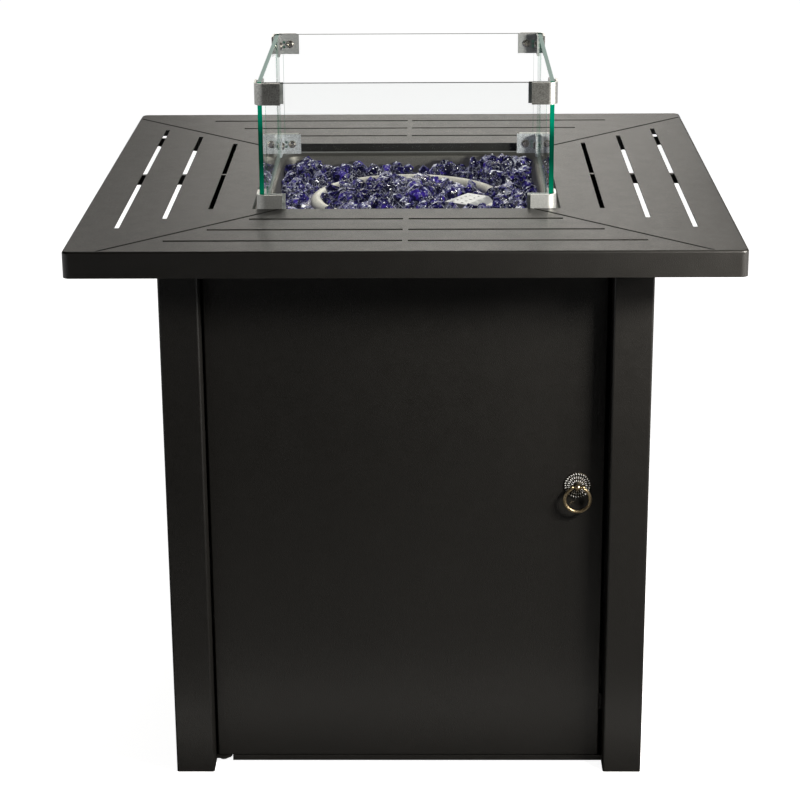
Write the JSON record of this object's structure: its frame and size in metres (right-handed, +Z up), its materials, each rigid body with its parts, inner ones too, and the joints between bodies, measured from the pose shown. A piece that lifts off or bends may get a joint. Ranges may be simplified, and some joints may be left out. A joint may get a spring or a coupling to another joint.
{
  "type": "fire pit table",
  "caption": "Square steel gas fire pit table with a slotted top, a burner pan of fire glass, a lift-off glass wind guard and a cabinet with a hinged door.",
  "frame": {"origin": "on the floor under the middle of the table", "axes": "+Z up, the cabinet door faces -Y, +X is to the right of someone who faces the door"},
  "size_m": [0.7112, 0.7112, 0.784],
  "materials": {
    "coat": "dark textured powder coat",
    "plain_steel": "bare stainless steel",
    "zinc": "zinc plated steel",
    "dark_screws": "blackened steel",
    "pane": "clear toughened glass",
    "fire_glass": "broken cobalt blue glass",
    "aged_brass": "aged brass",
    "bright_brass": "machined brass",
    "copper": "copper",
    "cast": "die cast",
    "ceramic": "glazed ceramic",
    "knob_plastic": "black moulded",
    "button_plastic": "black moulded",
    "seal": "silicone sheet",
    "lead": "silicone insulated wire"
  },
  "bodies": {
    "cabinet": {"table_top": "coat", "stiffener_front": "coat", "stiffener_back": "coat", "stiffener_left": "coat", "stiffener_right": "coat", "gusset_front_left": "coat", "gusset_front_right": "coat", "gusset_rear_left": "coat", "gusset_rear_right": "coat", "leg_front_left": "coat", "leg_front_right": "coat", "leg_rear_left": "coat", "leg_rear_right": "coat", "side_panel_left": "coat", "side_panel_right": "coat", "back_panel": "coat", "header_rail": "coat", "base_shelf": "coat", "tank_locators": "coat", "pan_rail_left": "coat", "pan_rail_right": "coat", "hinge_tabs": "coat", "magnet_catch": "coat", "control_plate": "coat", "burner_pan": "plain_steel", "burner_ring": "plain_steel", "pilot_shield": "plain_steel", "heat_shield": "zinc", "inlet_nuts": "zinc", "air_mixer": "zinc", "burner_inlet": "zinc", "panel_screws": "dark_screws", "fire_glass_bed": "fire_glass", "fire_glass_chunks": "fire_glass", "orifice_elbow": "bright_brass", "thermocouple": "copper", "gas_valve": "cast", "gas_line": "cast", "igniter_electrode": "ceramic", "igniter_housing": "knob_plastic", "ignition_lead": "lead"},
    "door": {"door_panel": "coat", "hinge_pins": "zinc", "handle_rosette": "aged_brass", "handle_post": "aged_brass", "strike_plate": "plain_steel"},
    "pull": {"ring_pull": "aged_brass"},
    "plunger": {"valve_plunger": "bright_brass"},
    "knob": {"control_knob": "knob_plastic", "valve_stem": "zinc"},
    "button": {"igniter_button": "button_plastic"},
    "wind_guard": {"guard_pane_front": "pane", "guard_pane_back": "pane", "guard_pane_left": "pane", "guard_pane_right": "pane", "guard_clamps_top": "plain_steel", "guard_clamps_bottom": "plain_steel", "guard_inner_plates": "plain_steel", "guard_screws": "zinc", "guard_pads": "seal"}
  },
  "joints": [
    {"name": "door_hinge", "type": "hinge", "parent": "cabinet", "child": "door", "pos_m": [-0.216, -0.2375, 0.302], "axis": [0, 0, -1], "range_deg": [0, 92]},
    {"name": "ring_swing", "type": "hinge", "parent": "door", "child": "pull", "pos_m": [0.1904, -0.2515, 0.3448], "axis": [-1, 0, 0], "range_deg": [-12, 168]},
    {"name": "knob_press", "type": "slide", "parent": "cabinet", "child": "plunger", "axis": [-1, 0, 0], "range_m": [0, 0.0055], "stiffness_N_per_m": 600},
    {"name": "knob_turn", "type": "hinge", "parent": "plunger", "child": "knob", "pos_m": [0.264, 0.03, 0.552], "axis": [1, 0, 0], "range_deg": [0, 180]},
    {"name": "igniter_press", "type": "slide", "parent": "cabinet", "child": "button", "axis": [-1, 0, 0], "range_m": [0, 0.004], "stiffness_N_per_m": 400},
    {"name": "guard_lift", "type": "slide", "parent": "cabinet", "child": "wind_guard", "axis": [0, 0, 1], "range_m": [0, 0.16]}
  ]
}
